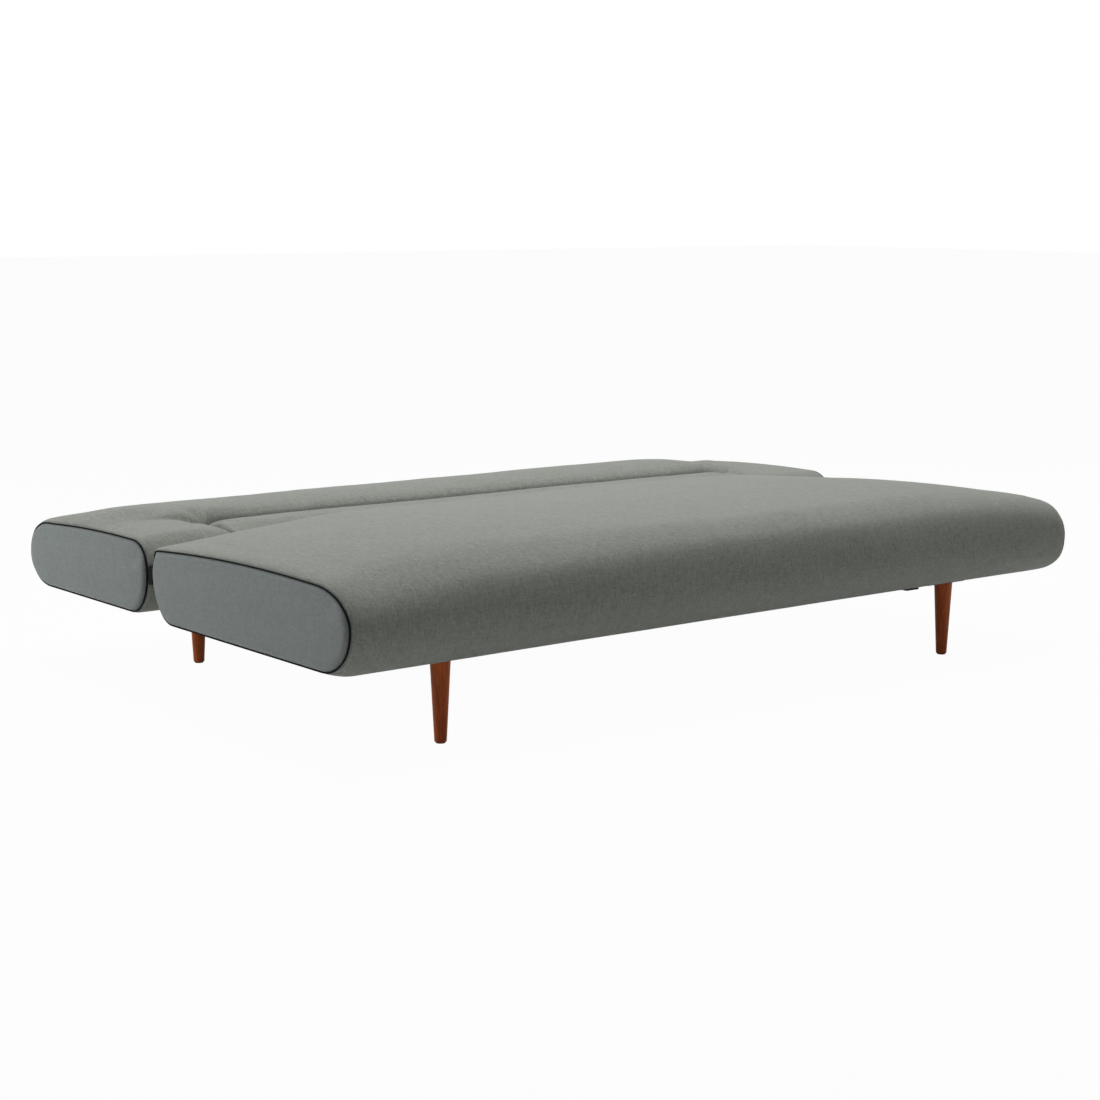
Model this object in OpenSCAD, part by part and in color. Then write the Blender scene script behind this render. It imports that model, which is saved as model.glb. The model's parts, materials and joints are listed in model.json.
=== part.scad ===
// Futon sofa bed: a long seat on four turned legs and a padded back that folds up on two end hinges.
// It is drawn flat as a bed. +X runs along the bed, the front is at -Y and the floor is z = 0.

/* [Overall] */
// Length of the lying surface, over the bulge of both end panels
bed_l = 2000; // [1660:10:2300]
// Depth of the seat cushion at its end panel
seat_d = 751; // [700:1:910]
// Depth of the back cushion at its end panel
back_d = 555; // [500:1:640]
// Gap between the seat and the back at rest
cushion_gap = 24; // [18:1:36]

/* [Seat cushion] */
// Height of the seat's underside
seat_bottom_z = 176; // [150:1:200]
// Height of the seat's top at its end panel
seat_top_z = 346.5; // [320:0.5:380]
// Height of the seat's foremost point
seat_nose_z = 269; // [255:1:285]
// Drop of the seat's top from its middle to its rear edge
seat_rear_drop = 19.5; // [5:0.5:30]
// Rise of the crown over the end panel's top
seat_crown = 40; // [10:1:60]
// Distance from the end over which the seat's crown rises
seat_crown_run = 400; // [200:10:700]
// Sag of the front roll's underside
seat_sag = 6; // [0:1:14]
// Forward bulge of the front roll at mid length
nose_bulge = 6; // [0:1:12]

/* [Back cushion] */
// Height of the back's underside at rest
back_bottom_z = 180; // [154:1:204]
// Height of the back's top at its end panel
back_top_z = 340; // [310:0.5:370]
// Height of the back's foremost point
back_nose_z = 270; // [255:1:285]
// Height of the back's rearmost point
back_tail_z = 248; // [235:1:265]
// Drop of the back's top towards its rear edge
back_rear_drop = 12; // [0:0.5:30]
// Rise of the crown over the end panel's top
back_crown = 17; // [5:1:30]
// Distance from the end over which the back's crown rises
back_crown_run = 140; // [80:10:400]
// Distance of the long crease from the back's front edge
crease_y_in = 174; // [150:1:210]
// Distance of the short creases from the bed's ends
crease_x_in = 241; // [160:1:400]
// Depth of the creases
crease_depth = 9; // [3:1:14]
// Half width of the creases
crease_w = 15; // [8:1:25]

/* [End panels and piping] */
// Bulge of an end panel past its seam
end_bulge = 10; // [6:1:20]
// Radius of the piping
piping_r = 3.5; // [2:0.5:4]
// Gap between a soft piece and its neighbour
soft_gap = 0.3; // [0.2:0.1:1]
// Foam from the seat's rear edge that squashes in the fold
seat_roll_d = 80; // [76:1:96]
// Foam from the back's front edge that squashes in the fold
back_roll_d = 76; // [71:1:84]

/* [Steel frames] */
// Width and height of the square frame tube
tube_w = 30; // [25:1:35]
// Wall of every steel tube
tube_t = 2; // [1.5:0.5:3]
// Width of the base rails
rail_w = 40; // [30:1:50]
// Height of the base rails
rail_h = 22; // [18:1:30]
// Distance of the base side rails from the middle
rail_x = 665; // [500:5:680]
// Distance from the seat's front edge to the front of the seat frame
frame_front_in = 100; // [60:1:110]
// Distance from the seat's front edge to the front end of the base rails
rail_front_in = 170; // [150:5:220]
// Distance from the back's rear edge to the rear end of the base rails
rail_rear_in = 200; // [150:5:220]
// Foam wall between a frame and the foam that squashes
frame_wall = 18; // [14:1:24]
// Distance from the back's rear edge to the rear of the back frame
back_frame_in = 45; // [40:1:60]
// Room round a frame in its cushion
frame_room = 2; // [1:0.5:4]
// Distance from the bed's end to the end of the seat frame
frame_end_in = 42; // [40:1:50]

/* [Slats] */
// Number of slats under each cushion
slats = 14; // [11:1:17]
// Width of a slat
slat_w = 53; // [38:1:68]
// Thickness of a slat
slat_t = 8; // [6:0.5:12]
// Distance of the outermost slat's middle from the bed's end
slat_end_in = 110; // [105:5:140]

/* [Dust covers] */
// Thickness of a dust cover
dust_t = 1.2; // [0.8:0.1:1.6]

/* [Legs] */
// Distance of the legs from the middle of the bed's length
leg_x = 711; // [650:1:730]
// Distance of the front legs from the seat's front edge
leg_front_in = 118; // [110:1:140]
// Distance of the rear legs from the back's rear edge
leg_rear_in = 258; // [240:1:280]
// Radius of a leg at the top
leg_top_r = 20.8; // [16:0.1:24]
// Radius of a leg at the foot
leg_foot_r = 12.3; // [10:0.1:16]
// Rounding of a leg's foot
leg_foot_round = 2; // [0.5:0.5:3]
// Thickness of a leg plate
leg_plate_t = 4; // [4:0.5:7]
// Length and width of a leg plate
leg_plate_w = 120; // [110:1:130]
// How far behind its leg's middle a front leg plate's middle lies
front_plate_back = 41; // [40:1:45]
// How far behind its leg's middle a rear leg plate's middle lies
rear_plate_back = 5; // [0:1:10]
// Height of a glide
glide_h = 2; // [1:0.5:4]
// Radius of a glide
glide_r = 9.5; // [6:0.5:9.5]
// Radius of a leg's stud
stud_r = 5; // [4:0.5:6]
// Depth of the stud in the leg
stud_depth = 30; // [20:1:40]

/* [Pads and bumpers] */
// Radius of a rubber pad or bumper
pad_r = 14; // [10:1:18]
// Gap between the leg plates and the seat frame, filled by the front pads
pad_h = 2; // [2:0.5:5]
// Distance of the front bumpers from the back's front edge
bumper_in = 115; // [112:1:150]

/* [Hinges] */
// Height of the pivot
pivot_z = 270; // [262:1:278]
// Radius of a hinge plate's eye
eye_r = 19; // [15.5:0.5:20]
// Thickness of a hinge plate
plate_t = 4; // [3:0.5:5]
// Thickness of the washer between two hinge plates
washer_t = 1; // [0.5:0.25:2]
// Radius of the washer
washer_r = 12; // [9:0.5:15]
// Radius of the pivot bolt's shank
pivot_r = 5; // [4:0.5:6]
// Running clearance of the pivot, on the radius
pivot_play = 0.06; // [0.02:0.01:0.1]
// Length of a hinge plate along its frame tube
plate_l = 130; // [110:1:160]
// Radius of the knuckle's cover
cover_r = 21; // [20.5:0.5:23]
// Length of the knuckle's cover
cover_l = 15; // [12:0.5:16]
// Width of the knuckle's cheek, which fills the gap between the cushions
cheek_w = 17; // [12:0.5:18]
// How far the pivot lies behind the middle of the gap between the cushions
pivot_behind = 2; // [1:0.5:3]
// How far the cheek stands out from the knuckle
cheek_l = 9; // [6:0.5:10]
// Radius of the bolts that hold plates and frames
bolt_r = 4; // [3:0.5:5]

/* [Outlines of the cushions] */
// From the seat's front to the top of its low arch
seat_top_in = 305; // [280:1:330]
// Depth of the seat's front roll above its middle
seat_nose_top_d = 125; // [100:1:140]
// Depth of the seat's front roll below its middle
seat_nose_low_d = 100; // [80:1:110]
// Depth of the curve under the seat's rear face
seat_rear_low_d = 75; // [60:1:79]
// Height at which that curve starts
seat_rear_low_z = 285; // [270:1:295]
// Radius of the seat's rear top edge
seat_corner_r = 11; // [8:1:14]
// How far the seat's rear face leans forward at the top
seat_rear_lean = 7; // [0:1:9]
// From the back's front to the top of its low arch
back_top_in = 133; // [110:1:150]
// Depth of the back's front roll
back_nose_d = 70; // [60:1:76]
// Depth of the back's rear roll above its middle
back_tail_top_d = 105; // [90:1:120]
// Depth of the back's rear roll below its middle
back_tail_low_d = 90; // [80:1:110]
// Fullness of the back's upper edges: 2 is an ellipse, more is squarer
back_fullness = 2.45; // [2:0.05:3]

/* [Hidden] */

$fn = 48;
top_fabric = "#9a9d95";
end_fabric = "#74797a";
piping_fabric = "#3f4243";
frame_paint = "#2b2c2e";
leg_wood = "#6a3322";
slat_wood = "#cdb68c";
black_rubber = "#1f1f20";
zinc = "#b4b7b9";

// Where the cushions lie
total_d = seat_d + cushion_gap + back_d;
seat_front = -total_d / 2;
seat_rear = seat_front + seat_d;
back_front = seat_rear + cushion_gap;
back_rear = back_front + back_d;
seam_x = bed_l / 2 - end_bulge;
cushion_x = seam_x - piping_r - soft_gap;
panel_x = cushion_x + soft_gap;
panel_inset = piping_r + 1.5;
seat_split = seat_rear - seat_roll_d;
back_split = back_front + back_roll_d;
crease_x = bed_l / 2 - crease_x_in;
crease_y = back_front + crease_y_in;

// The hinge line runs along X between the cushions
pivot_y = (seat_rear + back_front) / 2 + pivot_behind;

// Frames and what stacks up in them
seat_frame_z = seat_bottom_z;
back_frame_z = back_bottom_z + 2;
seat_frame_front = seat_front + frame_front_in;
seat_frame_rear = seat_split - frame_wall - frame_room;
back_frame_front = back_split + frame_wall + frame_room;
back_frame_rear = back_rear - back_frame_in;
seat_frame_x = bed_l / 2 - frame_end_in;
back_frame_x = seat_frame_x + plate_t + washer_t;
head_h = 5;
seat_recess_x = seat_frame_x + plate_t + head_h + frame_room;
back_recess_x = back_frame_x + plate_t + head_h + frame_room;
seat_recess_z = seat_frame_z + tube_w + slat_t + soft_gap;
back_recess_z = back_frame_z + tube_w + slat_t + soft_gap;

// The base under them
plate_top_z = seat_frame_z - pad_h;
plate_z = plate_top_z - leg_plate_t;
rail_z = plate_z - rail_h;
rail_front = seat_front + rail_front_in;
rail_rear = back_rear - rail_rear_in;
leg_front_y = seat_front + leg_front_in;
leg_rear_y = back_rear - leg_rear_in;
plate_mid_x = rail_x + leg_plate_w / 2 - rail_w / 2 - 5;
stud_play = 0.05;
pad_front_y = leg_front_y + front_plate_back - pad_r;
pad_rear_y = seat_frame_rear - tube_w - pad_r - 6;
bumper_front_y = back_front + bumper_in;
bumper_rear_y = leg_rear_y - 25;
bumper_top_z = back_frame_z - soft_gap;

// Hinge bolts along a frame tube, from the tube's end
bolt_in = [30, 100];
bolt_play = 0.3;
slot_x = seat_frame_x - 12;
drum_room = 3;
slot_top_z = pivot_z + eye_r + drum_room;
arm_foot = 62;
slot_foot = arm_foot + 6;

function smooth(t) = let (s = min(max(t, 0), 1)) s * s * (3 - 2 * s);
function arc(cy, cz, ry, rz, from, to, n) =
  [for (i = [0:n]) let (a = from + (to - from) * i / n) [cy + ry * cos(a), cz + rz * sin(a)]];

// The same between 0 and 180 degrees, fuller than an ellipse
function fuller(v) = sign(v) * pow(abs(v), 2 / back_fullness);
function full_arc(cy, cz, ry, rz, from, to, n) =
  [for (i = [0:n]) let (a = from + (to - from) * i / n)
    [cy + ry * fuller(cos(a)), cz + rz * fuller(sin(a))]];

// How far the crown has risen at x, from 0 at the seams to 1
function rise_at(x, run) = pow(sin(90 * min(max((seam_x - abs(x)) / run, 0), 1)), 1.3);

// Draws the last few millimetres before a seam in, as a sewn cover is
function seam_inset(x) = 3 * pow(max(0, 1 - (cushion_x - abs(x)) / 12), 2);

// Tops of the cushions at their end panels, as low arches over the depth
seat_top_mid = seat_front + seat_top_in;
seat_arch = seat_rear_drop / pow(seat_rear - seat_top_mid, 2);
function seat_top(y) = seat_top_z - seat_arch * pow(y - seat_top_mid, 2);
back_top_mid = back_front + back_top_in;
back_shoulder = back_rear - back_tail_top_d;
back_arch = back_rear_drop / pow(back_shoulder - back_top_mid, 2);
function back_top(y) = back_top_z - back_arch * pow(y - back_top_mid, 2);

// The seat's outline, front to back: nose, top, rear corner, rear face, underside
nose_top_y = seat_front + seat_nose_top_d;
nose_low_y = seat_front + seat_nose_low_d;
rear_low_y = seat_rear - seat_rear_low_d;
corner_y = seat_rear - seat_rear_lean - seat_corner_r;
corner_z = seat_top(corner_y) - seat_corner_r;
seat_nose_top_h = seat_top(nose_top_y) - seat_nose_z;
seat_nose_top = arc(nose_top_y, seat_nose_z, seat_nose_top_d, seat_nose_top_h, 180, 90, 7);
seat_nose_low = arc(nose_low_y, seat_nose_z, seat_nose_low_d, seat_nose_z - seat_bottom_z, 270, 190, 6);
function seat_top_run(from, to, n) =
  [for (i = [1:n]) let (y = from + (to - from) * i / n) [y, seat_top(y)]];
seat_rear_end = concat(
  arc(corner_y, corner_z, seat_corner_r, seat_corner_r, 80, 10, 3),
  arc(rear_low_y, seat_rear_low_z, seat_rear_low_d, seat_rear_low_z - seat_bottom_z, 0, -90, 7)
);
function seat_underside(from, to, n) = [for (i = [1:n]) [from + (to - from) * i / n, seat_bottom_z]];
seat_under_front = nose_low_y + 60;
seat_top_rear = corner_y - 6;

seat_outline = concat(
  seat_nose_low, seat_nose_top, seat_top_run(nose_top_y, seat_top_rear, 11), seat_rear_end,
  seat_underside(rear_low_y, seat_under_front, 3)
);
seat_main_outline = concat(
  seat_nose_low, seat_nose_top, seat_top_run(nose_top_y, seat_split, 10),
  [[seat_split, seat_bottom_z]], seat_underside(seat_split, seat_under_front, 3)
);
seat_roll_outline = concat(
  [[seat_split + soft_gap, seat_bottom_z], [seat_split + soft_gap, seat_top(seat_split)]],
  seat_top_run(seat_split, seat_top_rear, 2), seat_rear_end
);

// The back's outline, front to back: rounded nose, top with its crease, rounded tail, underside
back_nose_y = back_front + back_nose_d;
back_tail_low_y = back_rear - back_tail_low_d;
back_nose_top_h = back_top(back_nose_y) - back_nose_z;
back_tail_top_h = back_top(back_shoulder) - back_tail_z;
back_nose_low = arc(back_nose_y, back_nose_z, back_nose_d, back_nose_z - back_bottom_z, 270, 190, 6);
back_nose_top = full_arc(back_nose_y, back_nose_z, back_nose_d, back_nose_top_h, 180, 90, 7);
crease_run = [for (i = [-1:0.5:1]) let (y = crease_y + i * crease_w) [y, back_top(y)]];
back_top_front = [for (y = [back_split, back_split + 32]) [y, back_top(y)]];
back_rear_run = back_shoulder - crease_y - 20;
back_top_rear = [for (i = [1:4]) let (y = crease_y + 16 + back_rear_run * i / 4.3) [y, back_top(y)]];
back_tail = concat(
  full_arc(back_shoulder, back_tail_z, back_tail_top_d, back_tail_top_h, 90, 0, 7),
  arc(back_tail_low_y, back_tail_z, back_tail_low_d, back_tail_z - back_bottom_z, -13, -90, 6)
);
back_under = [[back_rear - 200, back_bottom_z], [back_split + 60, back_bottom_z]];
back_outline = concat(
  back_nose_low, back_nose_top, back_top_front, crease_run, back_top_rear, back_tail, back_under
);
back_main_outline = concat(
  [[back_split + soft_gap, back_bottom_z]], [[back_split + soft_gap, back_top(back_split)]],
  [back_top_front[1]], crease_run, back_top_rear, back_tail, back_under
);
back_roll_outline = concat(
  back_nose_low, back_nose_top, [[back_split, back_top(back_split)], [back_split, back_bottom_z]]
);

// Moves a point of the seat's outline to where it lies at x: crown, sag and nose bulge
function seat_point(p, x) =
  let (rise = rise_at(x, seat_crown_run), half_z = (seat_top_z - seat_bottom_z) / 2,
    in = seam_inset(x), mid_z = seat_bottom_z + half_z, mid_y = (seat_front + seat_rear) / 2,
    lift = seat_crown * rise * smooth((p[1] - seat_nose_z + 12) / (corner_z + 12 - seat_nose_z)),
    low = smooth((seat_nose_z - p[1]) / 70) * smooth((seat_frame_front + 25 - p[0]) / 60),
    sag = seat_sag * rise * low,
    nose = nose_bulge * rise * smooth((nose_top_y - p[0]) / seat_nose_top_d),
    y = p[0] - in * (p[0] - mid_y) / (seat_d / 2), z = p[1] - in * (p[1] - mid_z) / half_z)
  [x, y - nose, z + lift - sag];

// The same for the back, with its creases
function crease_at(x, y) =
  let (across = exp(-pow((y - crease_y) / (crease_w * 0.6), 2)),
    along = exp(-pow((abs(x) - crease_x) / (crease_w * 0.6), 2)))
  crease_depth * max(abs(x) <= crease_x + 1 ? across : 0, y <= crease_y ? along : 0);
function back_point(p, x) =
  let (rise = rise_at(x, back_crown_run), half_z = (back_top_z - back_bottom_z) / 2,
    in = seam_inset(x), mid_z = back_bottom_z + half_z, mid_y = (back_front + back_rear) / 2,
    up = smooth((p[1] - back_nose_z + 12) / (back_top_z - 24 - back_nose_z)),
    tail = nose_bulge * rise * smooth((p[0] - back_shoulder) / back_tail_top_d),
    y = p[0] - in * (p[0] - mid_y) / (back_d / 2), z = p[1] - in * (p[1] - mid_z) / half_z)
  [x, y + tail, z + (back_crown * rise - crease_at(x, p[0])) * up];

// Stations along the length: one half's, mirrored
function both_ways(half) = concat([for (i = [len(half) - 1:-1:0]) -half[i]], half);
seat_stations = both_ways(
  [for (in = [850, 620, 430, 330, 250, 180, 120, 70, 32, 12, 4, 0]) cushion_x - in]
);
roll_stations = both_ways([for (in = [700, 330, 180, 70, 12, 4, 0]) cushion_x - in]);
back_stations = both_ways(concat(
  [for (in = [800, 560, 400, 290]) cushion_x - in],
  [for (i = [-1, -0.5, 0, 0.5, 1]) crease_x + i * crease_w],
  [for (in = [150, 85, 40, 12, 4, 0]) cushion_x - in]
));
back_roll_stations = both_ways(concat(
  [cushion_x - 600],
  [for (i = [-1, 0, 1]) crease_x + i * crease_w],
  [for (in = [110, 40, 12, 4, 0]) cushion_x - in]
));

// Skins rings of equal length into a closed solid, with a fan of faces on each end
function middle(ring) = [for (axis = [0:2]) [for (p = ring) p[axis]] * [for (p = ring) 1] / len(ring)];
module loft(rings) {
  n = len(rings[0]);
  last = len(rings) - 1;
  first_mid = (last + 1) * n;
  sides = [for (i = [0:last - 1], j = [0:n - 1]) let (k = (j + 1) % n)
    each [[i * n + j, (i + 1) * n + j, (i + 1) * n + k], [i * n + j, (i + 1) * n + k, i * n + k]]];
  ends = [for (j = [0:n - 1]) let (k = (j + 1) % n)
    each [[first_mid, j, k], [first_mid + 1, last * n + k, last * n + j]]];
  middles = [middle(rings[0]), middle(rings[last])];
  polyhedron(concat([for (ring = rings) each ring], middles), concat(sides, ends));
}

// A cord of eight sides round a closed outline in the plane x = seam_x
module piping(outline) {
  n = len(outline);
  function normal(i) = let (t = outline[(i + 1) % n] - outline[(i + n - 1) % n]) [-t[1], t[0]] / norm(t);
  sides = 8;
  points = [for (i = [0:n - 1], k = [0:sides - 1]) let (a = 360 * (k + 0.5) / sides,
    p = outline[i] + normal(i) * (piping_r * cos(a) - 1)) [seam_x + piping_r * sin(a), p[0], p[1]]];
  faces = [for (i = [0:n - 1], k = [0:sides - 1])
    let (a = i * sides, b = ((i + 1) % n) * sides, m = (k + 1) % sides)
    each [[a + k, b + k, b + m], [a + k, b + m, a + m]]];
  polyhedron(points, faces);
}

// A bulging panel inside the piping; steps are [distance from the seam plane, inset of the edge]
module end_panel(outline, mid, half) {
  bulge = [
    [panel_x - seam_x, panel_inset], [piping_r, panel_inset + 0.5],
    [0.55 * end_bulge, panel_inset + 6], [0.78 * end_bulge, panel_inset + 18],
    [0.93 * end_bulge, panel_inset + 36], [end_bulge, panel_inset + 60]
  ];
  loft([for (step = bulge) [for (p = outline)
    let (scale = [1 - step[1] / half[0], 1 - step[1] / half[1]])
    [seam_x + step[0], mid[0] + (p[0] - mid[0]) * scale[0], mid[1] + (p[1] - mid[1]) * scale[1]]]]);
}

module at_side(side) {
  if (side < 0) mirror([1, 0, 0]) children();
  else children();
}

// Extrudes an outline drawn in (y, z) from x over a length
module along_x(x, length) {
  translate([x, 0, 0]) rotate([90, 0, 90]) linear_extrude(length) children();
}

module box(low, high) {
  translate(low) cube(high - low);
}

// Rectangular steel tubes, open at their ends
module tube_x(x0, x1, y0, z0, w, h) {
  difference() {
    box([x0, y0, z0], [x1, y0 + w, z0 + h]);
    box([x0 - 1, y0 + tube_t, z0 + tube_t], [x1 + 1, y0 + w - tube_t, z0 + h - tube_t]);
  }
}

module tube_y(y0, y1, x0, z0, w, h) {
  difference() {
    box([x0, y0, z0], [x0 + w, y1, z0 + h]);
    box([x0 + tube_t, y0 - 1, z0 + tube_t], [x0 + w - tube_t, y1 + 1, z0 + h - tube_t]);
  }
}

// Frames: two long tubes, two end tubes and three cross tubes each
module seat_rail(y) {
  color(frame_paint) tube_x(-seat_frame_x, seat_frame_x, y, seat_frame_z, tube_w, tube_w);
}

module back_rail(y) {
  color(frame_paint) tube_x(-back_frame_x, back_frame_x, y, back_frame_z, tube_w, tube_w);
}

module frame_tube(front, rear, x, z) {
  tube_y(front + tube_w, rear - tube_w, x - tube_w / 2, z, tube_w, tube_w);
}

module seat_tube(x) {
  difference() {
    frame_tube(seat_frame_front, seat_frame_rear, x, seat_frame_z);
    frame_bolt_holes();
  }
}

module seat_rail_end(side) {
  color(frame_paint) at_side(side) difference() {
    seat_tube(seat_frame_x - tube_w / 2);
    hinge_bolt_holes(seat_frame_rear, -1, seat_frame_z);
  }
}

module seat_cross_rail(x) {
  color(frame_paint) seat_tube(x);
}

module back_tube(x) {
  frame_tube(back_frame_front, back_frame_rear, x, back_frame_z);
}

module back_rail_end(side) {
  color(frame_paint) at_side(side) difference() {
    back_tube(back_frame_x - tube_w / 2);
    hinge_bolt_holes(back_frame_front, 1, back_frame_z);
  }
}

module back_cross_rail(x) {
  color(frame_paint) back_tube(x);
}

module slat_row(from, to, z) {
  run = bed_l / 2 - slat_end_in;
  pitch = 2 * run / (slats - 1);
  for (i = [0:slats - 1])
    translate([i * pitch - run - slat_w / 2, from, z]) cube([slat_w, to - from, slat_t]);
}

module seat_slats() {
  color(slat_wood) slat_row(seat_frame_front + 2, seat_frame_rear - 2, seat_frame_z + tube_w);
}

module back_slats() {
  color(slat_wood) slat_row(back_frame_front + 2, back_frame_rear - 2, back_frame_z + tube_w);
}

// Base: side rails, cross rails, leg plates and legs
module base_side_rail(side) {
  color(frame_paint) at_side(side) difference() {
    tube_y(rail_front, rail_rear, rail_x - rail_w / 2, rail_z, rail_w, rail_h);
    frame_bolt_holes();
  }
}

module base_cross_rail(y) {
  inner = rail_x - rail_w / 2;
  color(frame_paint) tube_x(-inner, inner, y - rail_w / 2, rail_z, rail_w, rail_h);
}

module leg_plate(side, leg_y, back) {
  color(frame_paint) at_side(side) difference() {
    translate([plate_mid_x - leg_plate_w / 2, leg_y + back - leg_plate_w / 2, plate_z])
      cube([leg_plate_w, leg_plate_w, leg_plate_t]);
    translate([leg_x, leg_y, plate_z - 1]) cylinder(r = stud_r + stud_play, h = leg_plate_t + 2);
    frame_bolt_holes();
  }
}

module leg(side, y) {
  in = leg_foot_round;
  foot = arc(leg_foot_r - in, glide_h + in, in, in, -90, 0, 4);
  hole_z = plate_z - stud_depth - soft_gap;
  color(leg_wood) at_side(side) translate([leg_x, y, 0]) difference() {
    rotate_extrude($fn = 64) polygon(concat([[0, glide_h]], foot, [[leg_top_r, plate_z], [0, plate_z]]));
    translate([0, 0, hole_z]) cylinder(r = stud_r + stud_play, h = stud_depth + 1);
  }
}

module at_legs() {
  for (side = [-1, 1], y = [leg_front_y, leg_rear_y]) translate([side * leg_x, y, 0]) children();
}

module leg_studs() {
  color(zinc) at_legs() translate([0, 0, plate_z - stud_depth])
    cylinder(r = stud_r, h = stud_depth + leg_plate_t - soft_gap);
}

module leg_glides() {
  color(black_rubber) at_legs() cylinder(r = glide_r, h = glide_h);
}

// The seat frame stands on four pads and is held by a bolt through each
module frame_pads() {
  color(black_rubber) for (side = [-1, 1]) {
    translate([side * rail_x, pad_front_y, plate_top_z]) ring(pad_r, bolt_r + bolt_play, pad_h);
    translate([side * rail_x, pad_rear_y, plate_z]) ring(pad_r, bolt_r + bolt_play, pad_h + leg_plate_t);
  }
}

module ring(outer, inner, h) {
  difference() {
    cylinder(r = outer, h = h);
    translate([0, 0, -1]) cylinder(r = inner, h = h + 2);
  }
}

module frame_bolt_holes() {
  hole_h = seat_frame_z + tube_t + 2 - rail_z;
  for (side = [-1, 1], y = [pad_front_y, pad_rear_y])
    translate([side * rail_x, y, rail_z - 1]) cylinder(r = bolt_r + bolt_play, h = hole_h);
}

module frame_bolt(x, y, under_z) {
  translate([x, y, under_z - head_h]) {
    cylinder(r = bolt_r * 1.7, h = head_h, $fn = 6);
    cylinder(r = bolt_r, h = seat_frame_z + 12 - under_z + head_h);
  }
}

module frame_bolts() {
  color(zinc) for (side = [-1, 1]) {
    frame_bolt(side * rail_x, pad_front_y, plate_z);
    frame_bolt(side * rail_x, pad_rear_y, rail_z);
  }
}

module back_bumpers() {
  color(black_rubber) for (side = [-1, 1]) {
    translate([side * rail_x, bumper_rear_y, plate_top_z])
      cylinder(r = pad_r, h = bumper_top_z - plate_top_z);
    translate([side * rail_x, bumper_front_y, plate_z])
      cylinder(r = pad_r, h = bumper_top_z - plate_z);
  }
}

// Hinges: a plate on each frame's end tube, an eye on the pivot and a straight arm between them.
// foot is the end of the frame that the plate is bolted to, and way points from the pivot along it
arm_r = 0.8 * eye_r;
function touch(p, way) =
  let (to = p - [pivot_y, pivot_z], a = atan2(to[1], to[0]) + way * acos(arm_r / norm(to)))
  [pivot_y + arm_r * cos(a), pivot_z + arm_r * sin(a)];

module hinge_outline(foot, way, z) {
  inner = foot + way * tube_w / 2;
  over = [foot + way * arm_foot, z + tube_w - 3];
  under = [inner, z + 3];
  arm = [over, touch(over, way), [pivot_y, pivot_z], touch(under, -way), under];
  difference() {
    union() {
      translate([pivot_y, pivot_z]) circle(r = eye_r);
      polygon(way > 0 ? arm : [for (i = [len(arm) - 1:-1:0]) arm[i]]);
      translate([min(inner, inner + way * plate_l), z + 3]) square([plate_l, tube_w - 6]);
    }
    translate([pivot_y, pivot_z]) circle(r = pivot_r + pivot_play);
    for (in = bolt_in) translate([inner + way * in, z + tube_w / 2]) circle(r = bolt_r + bolt_play);
  }
}

module hinge_seat_plate(side) {
  color(frame_paint) at_side(side)
    along_x(seat_frame_x, plate_t) hinge_outline(seat_frame_rear, -1, seat_frame_z);
}

module hinge_back_plate(side) {
  color(frame_paint) at_side(side)
    along_x(back_frame_x, plate_t) hinge_outline(back_frame_front, 1, back_frame_z);
}

module hinge_bolt_holes(foot, way, z) {
  for (in = bolt_in)
    translate([seat_frame_x - tube_w / 2, foot + way * (tube_w / 2 + in), z + tube_w / 2])
      rotate([0, 90, 0]) cylinder(r = bolt_r + bolt_play, h = tube_w);
}

module hinge_bolts(foot, way, z, x) {
  for (side = [-1, 1], in = bolt_in)
    at_side(side) translate([x + plate_t, foot + way * (tube_w / 2 + in), z + tube_w / 2])
      rotate([0, 90, 0]) {
      cylinder(r = bolt_r * 1.7, h = head_h, $fn = 6);
      translate([0, 0, -plate_t - 12]) cylinder(r = bolt_r, h = plate_t + 12);
    }
}

module hinge_seat_bolts() {
  color(zinc) hinge_bolts(seat_frame_rear, -1, seat_frame_z, seat_frame_x);
}

module hinge_back_bolts() {
  color(zinc) hinge_bolts(back_frame_front, 1, back_frame_z, back_frame_x);
}

module at_pivots(x) {
  for (side = [-1, 1]) at_side(side) translate([x, pivot_y, pivot_z]) rotate([0, 90, 0]) children();
}

nut_h = 7;
pivot_head_h = 5;
pivot_head_r = 9;
head_x = back_frame_x + plate_t + pivot_play;

module pivot_bolts() {
  color(zinc) at_pivots(seat_frame_x - nut_h - 2) {
    cylinder(r = pivot_r, h = head_x - seat_frame_x + nut_h + 2);
    translate([0, 0, head_x - seat_frame_x + nut_h + 2]) cylinder(r = pivot_head_r, h = pivot_head_h);
  }
}

module pivot_nuts() {
  color(zinc) at_pivots(seat_frame_x - nut_h - pivot_play) difference() {
    cylinder(r = pivot_head_r, h = nut_h, $fn = 6);
    translate([0, 0, -1]) cylinder(r = pivot_r + pivot_play, h = nut_h + 2);
  }
}

module pivot_washers() {
  color(zinc) at_pivots(seat_frame_x + plate_t + pivot_play)
    ring(washer_r, pivot_r + pivot_play, washer_t - 2 * pivot_play);
}

// The black cap of the knuckle, and its narrow cheek that shows in the gap between the cushions
module hinge_covers() {
  well = pivot_head_h + soft_gap;
  color(black_rubber) at_pivots(head_x + soft_gap) difference() {
    union() {
      cylinder(r = cover_r, h = cover_l);
      intersection() {
        cylinder(r = cover_r - 1, h = cover_l + cheek_l);
        translate([-cover_r, -pivot_behind - cheek_w / 2, 0])
          cube([2 * cover_r, cheek_w, cover_l + cheek_l]);
      }
    }
    translate([0, 0, -1]) cylinder(r = pivot_head_r + 2 * soft_gap, h = well - soft_gap + 1);
  }
}

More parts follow.
